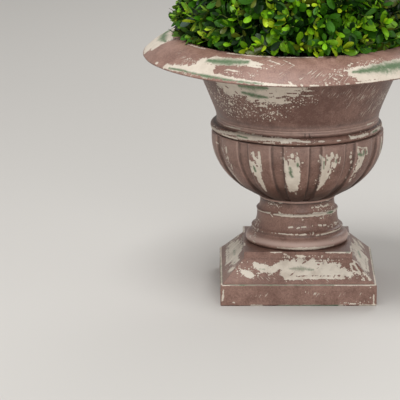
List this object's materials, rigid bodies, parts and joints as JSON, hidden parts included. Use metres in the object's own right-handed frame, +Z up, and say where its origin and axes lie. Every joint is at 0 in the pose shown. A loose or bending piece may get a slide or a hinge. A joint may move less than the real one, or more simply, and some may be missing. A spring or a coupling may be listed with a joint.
{
  "type": "box topiary ball",
  "caption": "Clipped box ball of small glossy leaves growing from a footed garden urn with a square plinth, lobed bowl and wide drooping brim.",
  "frame": {"origin": "middle of the flat underside of the urn's plinth, at ground level", "axes": "+Z up the urn's axis; the side that the picture shows faces -Y; +X is to its right"},
  "size_m": [0.459, 0.459, 0.6166],
  "materials": {
    "urn_paint": "worn mauve-brown paint over cream and green, with chips along the edges",
    "soil": "damp dark potting soil",
    "bark": "rough grey-brown bark",
    "leaves": "glossy leaves in mid, dark and yellow-green"
  },
  "bodies": {
    "root": {"urn_plinth": "urn_paint", "urn_slope": "urn_paint", "urn_stem": "urn_paint", "urn_bowl": "urn_paint", "urn_belt": "urn_paint", "urn_flare": "urn_paint", "urn_brim": "urn_paint", "soil": "soil", "woody_stem": "bark", "foliage_ball": "leaves"}
  },
  "joints": []
}
